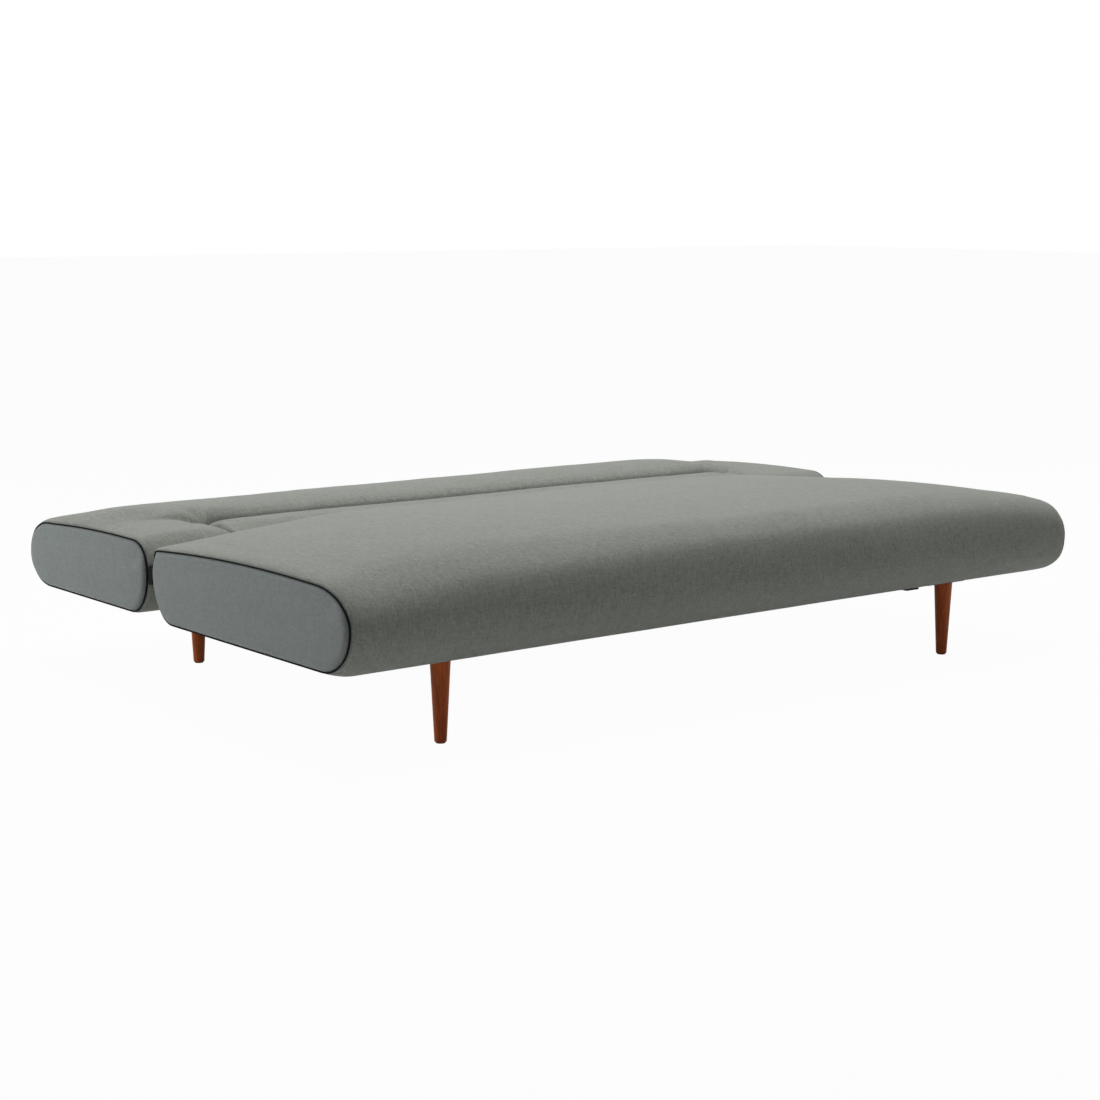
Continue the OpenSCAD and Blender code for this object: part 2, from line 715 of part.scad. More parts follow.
// Room in the foam for the knuckles and for the plates that reach them
module hinge_pockets(foot, way) {
  for (side = [-1, 1]) at_side(side) {
    translate([slot_x, pivot_y, pivot_z])
      rotate([0, 90, 0]) cylinder(r = cover_r + drum_room, h = bed_l / 2 - slot_x);
    box(
      [slot_x, min(pivot_y, foot + way * slot_foot), seat_bottom_z - 20],
      [back_recess_x, max(pivot_y, foot + way * slot_foot), slot_top_z]
    );
  }
}

module seat_cushion() {
  color(top_fabric) difference() {
    loft([for (x = seat_stations) [for (p = seat_main_outline) seat_point(p, x)]]);
    box(
      [-seat_recess_x, seat_frame_front - frame_room, seat_bottom_z - 30],
      [seat_recess_x, seat_frame_rear + frame_room, seat_recess_z]
    );
    hinge_pockets(seat_frame_rear, -1);
  }
}

module seat_fold_roll() {
  color(top_fabric) difference() {
    loft([for (x = roll_stations) [for (p = seat_roll_outline) seat_point(p, x)]]);
    hinge_pockets(seat_frame_rear, -1);
  }
}

module back_cushion() {
  color(top_fabric) difference() {
    loft([for (x = back_stations) [for (p = back_main_outline) back_point(p, x)]]);
    box(
      [-back_recess_x, back_frame_front - frame_room, back_bottom_z - 30],
      [back_recess_x, back_frame_rear + frame_room, back_recess_z]
    );
    hinge_pockets(back_frame_front, 1);
  }
}

module back_fold_roll() {
  color(top_fabric) difference() {
    loft([for (x = back_roll_stations) [for (p = back_roll_outline) back_point(p, x)]]);
    hinge_pockets(back_frame_front, 1);
  }
}

module seat_end_panel(side) {
  color(end_fabric) at_side(side) end_panel(
    seat_outline, [(seat_front + seat_rear) / 2, (seat_top_z + seat_bottom_z) / 2],
    [seat_d / 2, (seat_top_z - seat_bottom_z) / 2]
  );
}

module back_end_panel(side) {
  color(end_fabric) at_side(side) end_panel(
    back_outline, [(back_front + back_rear) / 2, (back_top_z + back_bottom_z) / 2],
    [back_d / 2, (back_top_z - back_bottom_z) / 2]
  );
}

module seat_piping(side) {
  color(piping_fabric) at_side(side) piping(seat_outline);
}

module back_piping(side) {
  color(piping_fabric) at_side(side) piping(back_outline);
}

// Dust covers close the undersides round the pads and bumpers
module dust_cover(half_x, front, rear, z, stops) {
  color(piping_fabric) difference() {
    box([-half_x, front, z - soft_gap - dust_t], [half_x, rear, z - soft_gap]);
    for (side = [-1, 1], y = stops)
      translate([side * rail_x, y, z - 5]) cylinder(r = pad_r + 3, h = 6);
  }
}

module seat_dust_cover() {
  dust_cover(seat_frame_x, seat_frame_front, seat_frame_rear, seat_frame_z, [pad_front_y, pad_rear_y]);
}

module back_dust_cover() {
  bumpers = [bumper_front_y, bumper_rear_y];
  dust_cover(back_frame_x, back_frame_front, back_frame_rear, back_frame_z, bumpers);
}

base_side_rail(-1);  // base_side_rail_left
base_side_rail(1);  // base_side_rail_right
base_cross_rail(rail_front + rail_w);  // base_cross_rail_front
base_cross_rail(pad_rear_y);  // base_cross_rail_middle
base_cross_rail(rail_rear - rail_w);  // base_cross_rail_rear
leg_plate(-1, leg_front_y, front_plate_back);  // leg_plate_front_left
leg_plate(1, leg_front_y, front_plate_back);  // leg_plate_front_right
leg_plate(-1, leg_rear_y, rear_plate_back);  // leg_plate_rear_left
leg_plate(1, leg_rear_y, rear_plate_back);  // leg_plate_rear_right
leg(-1, leg_front_y);  // leg_front_left
leg(1, leg_front_y);  // leg_front_right
leg(-1, leg_rear_y);  // leg_rear_left
leg(1, leg_rear_y);  // leg_rear_right
leg_studs();
leg_glides();
frame_pads();
frame_bolts();
back_bumpers();
seat_rail(seat_frame_front);  // seat_rail_front
seat_rail(seat_frame_rear - tube_w);  // seat_rail_rear
seat_rail_end(-1);  // seat_rail_left
seat_rail_end(1);  // seat_rail_right
seat_cross_rail(-rail_x);  // seat_cross_rail_left
seat_cross_rail(0);  // seat_cross_rail_middle
seat_cross_rail(rail_x);  // seat_cross_rail_right
seat_slats();
seat_cushion();
seat_fold_roll();
seat_end_panel(-1);  // seat_end_panel_left
seat_end_panel(1);  // seat_end_panel_right
seat_piping(-1);  // seat_piping_left
seat_piping(1);  // seat_piping_right
seat_dust_cover();
hinge_seat_plate(-1);  // hinge_seat_plate_left
hinge_seat_plate(1);  // hinge_seat_plate_right
hinge_seat_bolts();
pivot_bolts();
pivot_nuts();
pivot_washers();
hinge_covers();
back_rail(back_frame_front);  // back_rail_front
back_rail(back_frame_rear - tube_w);  // back_rail_rear
back_rail_end(-1);  // back_rail_left
back_rail_end(1);  // back_rail_right
back_cross_rail(-rail_x);  // back_cross_rail_left
back_cross_rail(0);  // back_cross_rail_middle
back_cross_rail(rail_x);  // back_cross_rail_right
back_slats();
back_cushion();
back_fold_roll();
back_end_panel(-1);  // back_end_panel_left
back_end_panel(1);  // back_end_panel_right
back_piping(-1);  // back_piping_left
back_piping(1);  // back_piping_right
back_dust_cover();
hinge_back_plate(-1);  // hinge_back_plate_left
hinge_back_plate(1);  // hinge_back_plate_right
hinge_back_bolts();
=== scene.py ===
import json
import math
import bpy
import numpy as np
from mathutils import Matrix, Vector, noise
from mathutils.kdtree import KDTree


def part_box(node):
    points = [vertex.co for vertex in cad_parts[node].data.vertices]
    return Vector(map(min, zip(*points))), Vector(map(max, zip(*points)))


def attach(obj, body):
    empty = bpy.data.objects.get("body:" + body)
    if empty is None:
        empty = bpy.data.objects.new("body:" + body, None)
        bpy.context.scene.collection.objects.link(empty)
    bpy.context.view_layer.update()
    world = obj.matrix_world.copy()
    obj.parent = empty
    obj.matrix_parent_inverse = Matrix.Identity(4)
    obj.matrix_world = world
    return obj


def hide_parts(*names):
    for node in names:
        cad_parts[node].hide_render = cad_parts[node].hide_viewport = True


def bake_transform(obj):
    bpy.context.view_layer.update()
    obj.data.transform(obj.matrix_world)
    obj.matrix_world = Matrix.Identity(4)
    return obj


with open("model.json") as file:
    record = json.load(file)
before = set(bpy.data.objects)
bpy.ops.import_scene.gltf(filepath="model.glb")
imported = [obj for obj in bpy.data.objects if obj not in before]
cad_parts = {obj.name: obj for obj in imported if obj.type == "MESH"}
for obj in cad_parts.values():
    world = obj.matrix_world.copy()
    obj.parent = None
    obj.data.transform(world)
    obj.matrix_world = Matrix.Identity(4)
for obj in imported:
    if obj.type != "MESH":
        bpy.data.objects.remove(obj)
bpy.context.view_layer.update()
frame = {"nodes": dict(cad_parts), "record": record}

nodes = frame["nodes"]
print("frame loaded:", len(nodes), "nodes")


# Selecting and making pieces

def nothingSelected():
    if bpy.context.object and bpy.context.object.mode != "OBJECT":
        bpy.ops.object.mode_set(mode="OBJECT")
    bpy.ops.object.select_all(action="DESELECT")


def makeActive(piece):
    nothingSelected()
    piece.select_set(True)
    bpy.context.view_layer.objects.active = piece


def smoothStep(low, high, value):
    t = np.clip((value - low) / (high - low), 0, 1)
    return t * t * (3 - 2 * t)


def outlineObject(name, outline, x):
    # a ring of points in the plane at x, one for each point of the outline
    nothingSelected()
    bpy.ops.mesh.primitive_circle_add(vertices=len(outline), radius=0.1, fill_type="NOTHING")
    ring = bpy.context.object
    ring.name = name
    for vertex, (y, z) in zip(ring.data.vertices, outline):
        vertex.co = (x, y, z)
    return ring


def arc(centre, radii, start, end, steps, fullness=2.0):
    # part of an ellipse, or of a squarer curve where the fullness is more than 2
    points = []
    for angle in np.radians(np.linspace(start, end, steps)):
        c, s = math.cos(angle), math.sin(angle)
        points.append((centre[0] + radii[0] * math.copysign(abs(c) ** (2 / fullness), c),
                       centre[1] + radii[1] * math.copysign(abs(s) ** (2 / fullness), s)))
    return points


def crowded(low, high, spots, fine, coarse, reach):
    # places from low to high: fine steps within reach of a spot, coarse ones away from them all
    fixed = np.linspace(low, high, 4000)
    away = np.min([np.abs(fixed - spot) for spot in spots], axis=0)
    step = fine + (coarse - fine) * smoothStep(reach, reach * 3, away)
    count = np.concatenate([[0], np.cumsum(np.diff(fixed) / step[1:])])
    return np.interp(np.linspace(0, count[-1], int(round(count[-1])) + 1), count, fixed)


def evenly(points, fine, coarse, spots, reach):
    # the same closed outline, its points close together near the spots and evenly spread elsewhere
    ring = np.array(points + points[:1])
    steps = np.hypot(*np.diff(ring, axis=0).T)
    run = np.concatenate([[0], np.cumsum(steps)])
    near = [run[np.argmin(np.hypot(ring[:, 0] - y, ring[:, 1] - z))] for y, z in spots]
    places = crowded(0, run[-1], near, fine, coarse, reach)[:-1]
    return [(float(np.interp(s, run, ring[:, 0])), float(np.interp(s, run, ring[:, 1]))) for s in places]


# Where the cushions' outlines lie, from the piping nodes

def sewnEdge(node, inset):
    low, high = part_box(node)
    radius = (high.x - low.x) / 2
    out = radius - inset
    return {"front": low.y + out, "rear": high.y - out, "bottom": low.z + out, "top": high.z - out,
            "radius": radius, "seamX": max(abs(low.x), abs(high.x)) - radius}


pipingInset = 0.001
seatEdge = sewnEdge("seat_piping_right", pipingInset)
backEdge = sewnEdge("back_piping_right", pipingInset)

seat = {
    "step": 0.009, "ringStep": 0.014, "noseZ": 0.269, "noseTop": 0.125, "noseLow": 0.100,
    "rearDrop": 0.0195, "topMiddle": 0.305, "rearLow": (0.075, 0.285), "corner": 0.011, "lean": 0.007,
    "crown": 0.036, "crownRun": 0.400, "sag": 0.0034, "sagRun": 0.050, "noseBulge": 0.004,
    "puff": 0.008, "puffRun": 0.018, "rightFuller": 0.0110, "rightPuff": 0.35, "leftNoseFall": 0.010,
    "wave": 0.0022, "ripple": 0.0006, "gathers": 0.0007,
}
back = {
    "step": 0.009, "ringStep": 0.014, "noseZ": 0.270, "noseRadius": 0.070, "tailZ": 0.248,
    "fullness": 2.45, "tailTop": 0.105, "tailLow": 0.090, "rearDrop": 0.012, "topMiddle": 0.133,
    "crown": 0.0250, "crownRight": 0.0232, "steep": 2.05, "cornerSteep": 1.2, "crownRun": 0.150,
    "panelCrown": 0.001, "rollMiddle": 0.430, "footBack": 0.045, "tailBulge": 0.004, "noseBulge": 0.005,
    "puff": 0.0055, "puffRun": 0.022, "rightPuff": 0.3, "rightLower": 0.004,
    "creaseY": 0.284, "creaseX": 0.759, "creaseRound": 0.045, "creaseDepth": 0.012, "wall": 0.0035,
    "creaseShadeWidth": 0.0045, "lobeFall": 0.008, "lobeHump": 0.003, "slump": 0.016,
    "dimple": 0.0105, "dimpleWidth": 0.034, "folds": 0.0020,
    "wave": 0.0020, "ripple": 0.0006, "gathers": 0.0007,
}
turnIn = {"depth": 0.0022, "reach": 0.008}    # how a cover's last millimetres go in to the seam


def seatTop(y):
    middle = seatEdge["front"] + seat["topMiddle"]
    arch = seat["rearDrop"] / (seatEdge["rear"] - middle) ** 2
    return seatEdge["top"] - arch * (y - middle) ** 2


def backTop(y):
    middle = backEdge["front"] + back["topMiddle"]
    shoulder = backEdge["rear"] - back["tailTop"]
    arch = back["rearDrop"] / (shoulder - middle) ** 2
    return backEdge["top"] - arch * (y - middle) ** 2


def seatOutline():
    front, rear, bottom = seatEdge["front"], seatEdge["rear"], seatEdge["bottom"]
    noseZ, corner = seat["noseZ"], seat["corner"]
    topY = front + seat["noseTop"]
    cornerY = rear - seat["lean"] - corner
    cornerZ = seatTop(cornerY) - corner
    lowDepth, lowZ = seat["rearLow"]
    points = arc((front + seat["noseLow"], noseZ), (seat["noseLow"], noseZ - bottom), 270, 185, 30)
    points += arc((topY, noseZ), (seat["noseTop"], seatTop(topY) - noseZ), 180, 90, 36)
    points += [(y, seatTop(y)) for y in np.linspace(topY + 0.01, cornerY - 0.004, 50)]
    points += arc((cornerY, cornerZ), (corner, corner), 82, 10, 8)
    points += arc((rear - lowDepth, lowZ), (lowDepth, lowZ - bottom), 0, -90, 30)
    return evenly(points, seat["step"] * 0.7, seat["step"], [(front + 0.03, seatTop(front + 0.09))], 0.05)


def backOutline():
    front, rear, bottom = backEdge["front"], backEdge["rear"], backEdge["bottom"]
    radius, noseZ, tailZ = back["noseRadius"], back["noseZ"], back["tailZ"]
    tailY = rear - back["tailTop"]
    points = arc((front + radius, noseZ), (radius, noseZ - bottom), 270, 185, 24)
    noseRise = backTop(front + radius) - noseZ
    points += arc((front + radius, noseZ), (radius, noseRise), 180, 90, 40, back["fullness"])
    points += [(y, backTop(y)) for y in np.linspace(front + radius + 0.008, tailY - 0.008, 50)]
    points += arc((tailY, tailZ), (back["tailTop"], backTop(tailY) - tailZ), 90, 0, 50, back["fullness"])
    points += arc((rear - back["tailLow"], tailZ), (back["tailLow"], tailZ - bottom), -5, -90, 24)
    creaseSpot = (back["creaseY"], backTop(back["creaseY"]))
    return evenly(points, back["step"] * 0.28, back["step"], [creaseSpot], 0.06)


# Covers: an outline is extruded along the bed, cut into rings and shaped

def coverFrom(name, outline, places):
    cover = outlineObject(name, outline, places[0])
    makeActive(cover)
    bpy.context.tool_settings.mesh_select_mode = (False, True, False)
    bpy.ops.object.mode_set(mode="EDIT")
    bpy.ops.mesh.select_all(action="SELECT")
    for near, far in zip(places[:-1], places[1:]):
        bpy.ops.mesh.extrude_edges_move(TRANSFORM_OT_translate={"value": (far - near, 0, 0)})
    bpy.ops.object.mode_set(mode="OBJECT")
    return cover


def ringPlaces(cover, outline):
    # which ring, and which point of the outline, each vertex comes from
    co = coordinates(cover.data)
    ring = np.array(outline)
    place = np.argmin(np.abs(co[:, 1:2] - ring[None, :, 0]) + np.abs(co[:, 2:3] - ring[None, :, 1]), axis=1)
    return np.unique(np.round(co[:, 0], 5), return_inverse=True)[1], place


def unrolled(cover, rings, place):
    # a UV map in metres: along the bed, and round each finished ring from the underside's middle
    mesh = cover.data
    co = coordinates(mesh)
    count = place.max() + 1
    order = np.lexsort((place, rings))
    loop = co[order].reshape(-1, count, 3)
    loop = np.concatenate([loop, loop[:, :1]], axis=1)[:, :, 1:]
    run = np.cumsum(np.linalg.norm(np.diff(loop, axis=1, prepend=loop[:, :1]), axis=2), axis=1)
    corners = np.zeros(len(mesh.loops), dtype=np.int32)
    mesh.loops.foreach_get("vertex_index", corners)
    faces = place[corners].reshape(-1, 4)
    wraps = faces.max(axis=1, keepdims=True) - faces.min(axis=1, keepdims=True) > count / 2
    around = run[rings[corners], np.where(wraps & (faces == 0), count, faces).ravel()]
    layer = mesh.uv_layers.get("UVMap") or mesh.uv_layers.new(name="UVMap")
    layer.data.foreach_set("uv", np.stack([co[corners, 0], around], axis=1).astype(np.float32).ravel())


def coordinates(mesh):
    co = np.zeros(len(mesh.vertices) * 3)
    mesh.vertices.foreach_get("co", co)
    return co.reshape(-1, 3)


def putBack(mesh, co):
    mesh.vertices.foreach_set("co", co.astype(np.float32).ravel())
    mesh.update()


def closedEnds(cover):
    makeActive(cover)
    bpy.ops.object.mode_set(mode="EDIT")
    bpy.context.tool_settings.mesh_select_mode = (False, True, False)
    bpy.ops.mesh.select_all(action="DESELECT")
    bpy.ops.mesh.select_non_manifold(
        extend=False, use_wire=False, use_multi_face=False, use_non_contiguous=False)
    bpy.ops.mesh.fill_holes(sides=0)
    bpy.ops.mesh.select_all(action="SELECT")
    bpy.ops.mesh.normals_make_consistent(inside=False)
    bpy.ops.object.mode_set(mode="OBJECT")
    bpy.ops.object.shade_smooth()


def softNoise(co, scale, seed):
    return np.array([noise.noise(Vector((x * scale + seed, y * scale, z * scale))) for x, y, z in co])


def rising(distance, run, slowness=1.3):
    return np.sin(np.clip(distance / run, 0, 1) * math.pi / 2) ** slowness


def middleAndHalf(edge):
    middle = np.array([(edge["front"] + edge["rear"]) / 2, (edge["bottom"] + edge["top"]) / 2])
    half = np.array([(edge["rear"] - edge["front"]) / 2, (edge["top"] - edge["bottom"]) / 2])
    return middle, half


def drawnIn(co, edge, fromSeam):
    # the cover's last few millimetres turn in to the seam
    middle, half = middleAndHalf(edge)
    amount = turnIn["depth"] * np.clip(1 - fromSeam / turnIn["reach"], 0, 1) ** 2
    co[:, 1:] -= amount[:, None] * (co[:, 1:] - middle) / half


def puffed(co, edge, settings, fromSeam):
    # the filling pushes the cover out all round, right up to the seam
    middle, half = middleAndHalf(edge)
    toward = (co[:, 1:] - middle) / half
    toward /= np.linalg.norm(toward, axis=1)[:, None]
    right = smoothStep(0.60, 0.95, co[:, 0]) * smoothStep(-0.56, -0.40, co[:, 1])
    amount = settings["puff"] * (1 - (1 - settings["rightPuff"]) * right)
    amount = amount * smoothStep(-0.9, -0.3, toward[:, 1])
    amount = amount * (1 - np.exp(-fromSeam / settings["puffRun"] * 2))
    co[:, 1:] += toward * amount[:, None] * [0.6, 1.0]


def fullerAtRight(co, edge):
    # the seat's nose is a little squarer towards the right end
    cy, cz = co[:, 1] - edge["front"] - seat["noseLow"], co[:, 2] - seat["noseZ"]
    square = cy ** 2 + cz ** 2 + 1e-6
    bulge = (0.85 * (2 * cy * cz / square) ** 2 + 0.30 * cy ** 2 / square) * np.clip(square / 0.0081, 0, 1)
    bulge = bulge * seat["rightFuller"] * (cy < 0) * smoothStep(0.55, 0.93, co[:, 0])
    out = np.stack([cy, cz], axis=1) / (np.hypot(cy, cz)[:, None] + 1e-6)
    co[:, 1] += out[:, 0] * bulge
    co[:, 2] += out[:, 1] * bulge * np.where(cz < 0, 0.05, 0.9)


def puckers(co, seamX, height):
    # small gathers where the cover is sewn to its piping
    near = np.exp(-(seamX - np.abs(co[:, 0])) / 0.014)
    around = co[:, 1] * 1.0 + co[:, 2] * 0.8
    gathers = np.sin(around * 320 + 2 * np.sin(around * 37)) * 0.6 + 0.4 * np.sin(around * 610 + 1)
    return height * near * gathers


def shapeSeat(cover, edge, seamX):
    co = coordinates(cover.data)
    y, z = co[:, 1].copy(), co[:, 2].copy()
    fromSeam = seamX - np.abs(co[:, 0])
    rearward = smoothStep(-0.45, -0.05, y)
    run = seat["crownRun"] + 0.15 * np.maximum(np.abs(co[:, 0]), rearward)
    rise = rising(fromSeam, run, 0.85 + 0.45 * rearward)
    cornerZ = seatTop(edge["rear"] - seat["lean"] - seat["corner"]) - seat["corner"]
    fall = seat["leftNoseFall"] * smoothStep(-0.50, -0.61, y) * smoothStep(-0.05, -0.60, co[:, 0])
    fall = fall * smoothStep(0, 0.12, fromSeam)
    lift = (seat["crown"] * rise - fall) * smoothStep(seat["noseZ"] - 0.012, cornerZ, z)
    sag = seat["sag"] * np.maximum(1 - co[:, 0], 0) ** 1.5 * rising(fromSeam, seat["sagRun"])
    sag = sag * smoothStep(0, 0.07, seat["noseZ"] - z) * smoothStep(-0.44, -0.54, y)
    nose = seat["noseBulge"] * rise * smoothStep(0, seat["noseTop"], edge["front"] + seat["noseTop"] - y)
    drawnIn(co, edge, fromSeam)
    puffed(co, edge, seat, fromSeam)
    co[:, 1] -= nose
    co[:, 2] += lift - sag
    wave = softNoise(co, 4.0, 3.1) * seat["wave"] + softNoise(co, 13.0, 8.7) * seat["ripple"]
    up = smoothStep(0.20, 0.33, co[:, 2])
    co[:, 2] += wave * up * smoothStep(0, 0.06, fromSeam)
    co[:, 1] += wave * 0.8 * (1 - up) * smoothStep(0, 0.06, fromSeam)
    co[:, 2] += puckers(co, seamX, seat["gathers"]) * up
    fullerAtRight(co, edge)
    putBack(cover.data, co)


def creaseDistance(x, y):
    # how far a point lies outside the middle panel, which is a rectangle with rounded corners
    radius = back["creaseRound"]
    dx = np.abs(x) - (back["creaseX"] - radius)
    dy = y - (back["creaseY"] - radius)
    outside = np.hypot(np.maximum(dx, 0), np.maximum(dy, 0))
    return outside + np.minimum(np.maximum(dx, dy), 0) - radius


def shapeBack(cover, edge, seamX):
    co = coordinates(cover.data)
    x, y, z = np.abs(co[:, 0]), co[:, 1].copy(), co[:, 2].copy()
    fromSeam = seamX - x
    up = smoothStep(back["noseZ"] - 0.012, edge["top"] - 0.024, z)
    onTop = smoothStep(back["noseZ"] - 0.03, back["noseZ"] + 0.05, z)

    # behind the crease the cushion is a full roll, which rises steeply from its foot
    foot = back["creaseY"] - 0.004 + back["footBack"] * smoothStep(0.0, 0.10, x - back["creaseX"])
    climb = np.clip((y - foot) / (back["rollMiddle"] - foot), -1, 1)
    steep = back["steep"] + back["cornerSteep"] * np.exp(-((x - back["creaseX"] + 0.02) / 0.08) ** 2)
    roll = np.clip(1 - (1 - np.maximum(climb, 0)) ** steep, 0, 1) ** (1 / steep)
    roll += (smoothStep(-0.35, 1.0, climb) - roll) * smoothStep(0.78, 0.91, x)
    roll = roll * (1 - 0.75 * smoothStep(0.0, 0.17, y - back["rollMiddle"] - 0.02))
    rise = rising(fromSeam, back["crownRun"], 0.95 + 0.35 * co[:, 0])
    crown = back["crown"] - back["crownRight"] * smoothStep(0.62, 0.96, co[:, 0])
    lift = up * rise * (crown * roll + back["panelCrown"])

    # in front of it the middle panel slumps towards its nose, and the lobes stay full
    slump = back["slump"] * smoothStep(0.225, 0.135, y) * (1 - smoothStep(0.70, 0.80, x))

    # the sewn crease is a narrow groove along the middle panel's edge
    distance = creaseDistance(x - 0.022 * smoothStep(0.20, 0.284, y), y)
    toCorner = np.hypot(x - back["creaseX"], y - back["creaseY"])
    depth = back["creaseDepth"] * (1 + 0.9 * np.exp(-(toCorner / 0.12) ** 2))
    groove = depth * np.exp(-np.maximum(-distance, 0) / back["wall"])
    groove = groove * np.exp(-np.maximum(distance, 0) / back["lobeFall"])
    # painted shade: a band along the crease, kept as the "crease" attribute, darkens the linen's colour where
    # the groove's shadow falls
    shade = np.exp(-(np.abs(distance - 0.001) / back["creaseShadeWidth"]) ** 2) * onTop
    crease = cover.data.attributes.new("crease", "FLOAT", "POINT")
    crease.data.foreach_set("value", shade.astype(np.float32))

    # it is tied down at its two corners, and pulls folds out from there
    reachX, reachY = x - back["creaseX"] - 0.010, y - back["creaseY"] + 0.008
    away = np.hypot(reachX, reachY)
    turn = np.arctan2(reachY, reachX)
    pull = back["dimple"] * np.exp(-(away / back["dimpleWidth"]) ** 2)
    pull -= back["folds"] * np.cos(turn * 7 + 0.6) * np.exp(-away / 0.070) * smoothStep(0.010, 0.05, away)
    hump = back["lobeHump"] * smoothStep(0.0, 0.05, reachX) * smoothStep(0.02, 0.10, fromSeam)
    hump = hump * smoothStep(0.04, -0.02, y - foot)

    tail = back["tailBulge"] * rise * smoothStep(0, back["tailTop"], y - edge["rear"] + back["tailTop"])
    nose = back["noseBulge"] * rising(fromSeam, 0.05) * smoothStep(0, 0.05, edge["front"] + 0.05 - y)
    drawnIn(co, edge, fromSeam)
    puffed(co, edge, back, fromSeam)
    co[:, 1] += tail - nose
    co[:, 2] += lift + onTop * (hump - groove - pull - slump)
    co[:, 2] -= back["rightLower"] * up * np.exp(-((co[:, 0] - 0.87) / 0.085) ** 2)
    wave = softNoise(co, 5.0, 11.3) * back["wave"] + softNoise(co, 15.0, 4.2) * back["ripple"]
    co[:, 2] += (wave * smoothStep(0, 0.06, fromSeam) + puckers(co, seamX, back["gathers"])) * up
    putBack(cover.data, co)


def makeCover(name, outline, edge, settings, shape):
    end = edge["seamX"] - edge["radius"] * 0.6
    creaseX = settings.get("creaseX", end)
    places = crowded(-end, end, [-end, end, -creaseX, creaseX], 0.003, settings["ringStep"], 0.04)
    cover = coverFrom(name, outline, places)
    rings, place = ringPlaces(cover, outline)
    shape(cover, edge, edge["seamX"])
    unrolled(cover, rings, place)
    closedEnds(cover)
    return cover


seatCushion = makeCover("seatCushion", seatOutline(), seatEdge, seat, shapeSeat)
backCushion = makeCover("backCushion", backOutline(), backEdge, back, shapeBack)
print("covers made")


# End panels: the outline is drawn in ring by ring and swells outwards

panel = {
    "rings": 18, "rim": 0.0085, "rimLessAtTop": 0.0045, "rimReach": 0.011, "swell": 0.0035,
    "inset": 0.0050, "reach": 0.072, "under": 0.0015, "step": 0.001, "wave": 0.0007, "ripple": 0.00025,
}


def makeEndPanel(name, outline, edge, side):
    x = side * (edge["seamX"] - panel["under"])
    piece = outlineObject(name, outline, x)
    makeActive(piece)
    middle, half = middleAndHalf(edge)
    count = len(outline)
    flat = np.array(outline)
    bpy.ops.object.mode_set(mode="EDIT")
    bpy.ops.mesh.select_all(action="SELECT")
    bpy.ops.mesh.edge_face_add()
    bpy.ops.mesh.select_mode(type="EDGE")
    for _ in range(panel["rings"]):
        bpy.ops.mesh.extrude_edges_move(TRANSFORM_OT_translate={"value": (side * panel["step"], 0, 0)})
    bpy.ops.mesh.edge_face_add()
    bpy.ops.object.mode_set(mode="OBJECT")
    co = coordinates(piece.data)
    level = np.round((co[:, 0] - x) * side / panel["step"]).astype(int)
    for k in range(panel["rings"] + 1):
        t = k / panel["rings"]
        inset = panel["reach"] * t ** 2.6
        ring = middle + (flat - middle) * (1 - (panel["inset"] + inset) / half)
        rounded = math.sqrt(1 - (1 - min(1, inset / panel["rimReach"])) ** 2)
        swell = panel["under"] + panel["swell"] * math.sin(math.pi / 2 * t ** 2.6)
        nearTop = smoothStep(0.4, 0.8, (flat[:, 1] - middle[1]) / half[1])
        nearTop = nearTop * (1 - smoothStep(0.02, 0.07, inset))
        out = swell + rounded * (panel["rim"] - panel["rimLessAtTop"] * nearTop)
        mine = np.where(level == k)[0]
        tree = KDTree(count)
        for i, (py, pz) in enumerate(flat):
            tree.insert((0, py, pz), i)
        tree.balance()
        for j in mine:
            i = tree.find((0, co[j, 1], co[j, 2]))[1]
            co[j] = (x + side * out[i], ring[i, 0], ring[i, 1])
    wave = softNoise(co, 7.0, 5.0 + side) * panel["wave"] + softNoise(co, 19.0, 2.0) * panel["ripple"]
    co[:, 0] += side * wave * smoothStep(0.003, 0.011, np.abs(co[:, 0] - x))
    if edge is seatEdge:
        fullerAtRight(co, edge)
    putBack(piece.data, co)
    makeActive(piece)
    bpy.ops.object.mode_set(mode="EDIT")
    bpy.ops.mesh.select_all(action="SELECT")
    bpy.ops.mesh.normals_make_consistent(inside=False)
    bpy.ops.object.mode_set(mode="OBJECT")
    bpy.ops.object.shade_smooth_by_angle(angle=math.radians(50))
    return piece


cord = {"radius": 0.0017, "inset": 0.0028, "out": 0.0008}


def makePiping(name, outline, edge, side):
    middle, half = middleAndHalf(edge)
    ring = middle + (np.array(outline) - middle) * (1 - cord["inset"] / half)
    spots = np.column_stack([np.full(len(ring), side * (edge["seamX"] + cord["out"])), ring])
    if edge is seatEdge:
        fullerAtRight(spots, edge)
    piping = outlineObject(name, [tuple(p) for p in spots[:, 1:]], spots[0, 0])
    makeActive(piping)
    bpy.ops.object.convert(target="CURVE")
    piping.data.bevel_depth = cord["radius"]
    piping.data.bevel_resolution = 3
    bpy.ops.object.convert(target="MESH")
    bpy.ops.object.shade_smooth()
    return bpy.context.object


panels, pipings = {}, {}
for part, outline, edge in (("seat", seatOutline(), seatEdge), ("back", backOutline(), backEdge)):
    for side, word in ((-1, "left"), (1, "right")):
        node = f"{part}_end_panel_{word}"
        panels[node] = makeEndPanel(f"{part}EndPanel_{word}", outline, edge, side)
        node = f"{part}_piping_{word}"
        pipings[node] = makePiping(f"{part}Piping_{word}", outline, edge, side)
print("end panels and piping made")


# Shader maths: an expression on values adds its Math nodes

